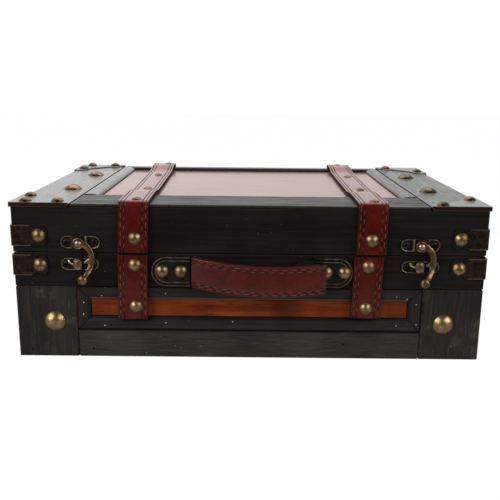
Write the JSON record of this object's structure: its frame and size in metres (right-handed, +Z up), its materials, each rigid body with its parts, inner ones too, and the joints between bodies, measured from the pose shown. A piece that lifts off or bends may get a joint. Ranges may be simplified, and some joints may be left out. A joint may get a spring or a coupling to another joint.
{
  "type": "wooden suitcase chest",
  "caption": "Flat wooden suitcase chest with a hinged lid, leather straps and handle, domed nails, sheet-metal corners and swing-hook latches.",
  "frame": {"origin": "middle of the underside of the base's bottom board", "axes": "+X to the right as seen from the front, front face towards -Y, +Z up with the lid on top"},
  "size_m": [0.3378, 0.2485, 0.1174],
  "materials": {
    "dark_wood": "dark stained, satin, worn at the edges",
    "lid_wood": "near-black stain under gloss varnish",
    "inner_wood": "bare, matt",
    "orange_wood": "orange-brown stain, satin varnish",
    "red_wood": "red-brown stain, gloss varnish",
    "leather": "oxblood, satin, stitched at the edges",
    "antique_brass": "antiqued, bright where rubbed",
    "aged_copper": "dark antique copper plating on thin sheet"
  },
  "bodies": {
    "base": {"base_front_board": "dark_wood", "base_back_board": "dark_wood", "base_left_board": "dark_wood", "base_right_board": "dark_wood", "base_bottom_board": "inner_wood", "front_upper_rail": "dark_wood", "front_left_block": "dark_wood", "front_right_block": "dark_wood", "front_lower_board": "dark_wood", "frame_top_moulding": "dark_wood", "frame_bottom_moulding": "dark_wood", "frame_left_moulding": "dark_wood", "frame_right_moulding": "dark_wood", "front_inset_panel": "orange_wood", "base_wrap_front_left": "aged_copper", "base_wrap_front_right": "aged_copper", "base_wrap_back_left": "aged_copper", "base_wrap_back_right": "aged_copper", "base_strap_front_left": "leather", "base_strap_front_right": "leather", "base_strap_back_left": "leather", "base_strap_back_right": "leather", "handle_cap_left": "antique_brass", "handle_cap_right": "antique_brass", "latch_keeper_left": "antique_brass", "latch_keeper_right": "antique_brass", "hinge_base_leaf_left": "antique_brass", "hinge_base_leaf_right": "antique_brass", "hinge_pin_left": "antique_brass", "hinge_pin_right": "antique_brass"},
    "lid": {"lid_front_board": "lid_wood", "lid_back_board": "lid_wood", "lid_left_board": "lid_wood", "lid_right_board": "lid_wood", "lid_top_panel": "red_wood", "top_left_board": "lid_wood", "top_right_board": "lid_wood", "top_front_rail": "lid_wood", "top_back_rail": "lid_wood", "top_left_moulding": "lid_wood", "top_right_moulding": "lid_wood", "top_back_moulding": "lid_wood", "corner_cap_front_left": "aged_copper", "corner_cap_front_right": "aged_copper", "corner_cap_back_left": "aged_copper", "corner_cap_back_right": "aged_copper", "lid_wrap_front_left": "aged_copper", "lid_wrap_front_right": "aged_copper", "lid_wrap_back_left": "aged_copper", "lid_wrap_back_right": "aged_copper", "lid_strap_left": "leather", "lid_strap_right": "leather", "latch_plate_left": "antique_brass", "latch_plate_right": "antique_brass", "hinge_lid_leaf_left": "antique_brass", "hinge_lid_leaf_right": "antique_brass"},
    "left_hook": {"latch_hook_left": "antique_brass"},
    "right_hook": {"latch_hook_right": "antique_brass"},
    "handle": {"handle_strap": "leather"}
  },
  "joints": [
    {"name": "lid_hinge", "type": "hinge", "parent": "base", "child": "lid", "pos_m": [0, 0.1162, 0.07725], "axis": [-1, 0, 0], "range_deg": [0, 105]},
    {"name": "left_hook_pivot", "type": "hinge", "parent": "lid", "child": "left_hook", "pos_m": [-0.1193, -0.11515, 0.0842], "axis": [0, -1, 0], "range_deg": [-12.5, 150]},
    {"name": "right_hook_pivot", "type": "hinge", "parent": "lid", "child": "right_hook", "pos_m": [0.1193, -0.11515, 0.0842], "axis": [0, -1, 0], "range_deg": [-12.5, 150]},
    {"name": "handle_slide", "type": "slide", "parent": "base", "child": "handle", "axis": [1, 0, 0], "range_m": [0, 0.004]}
  ]
}
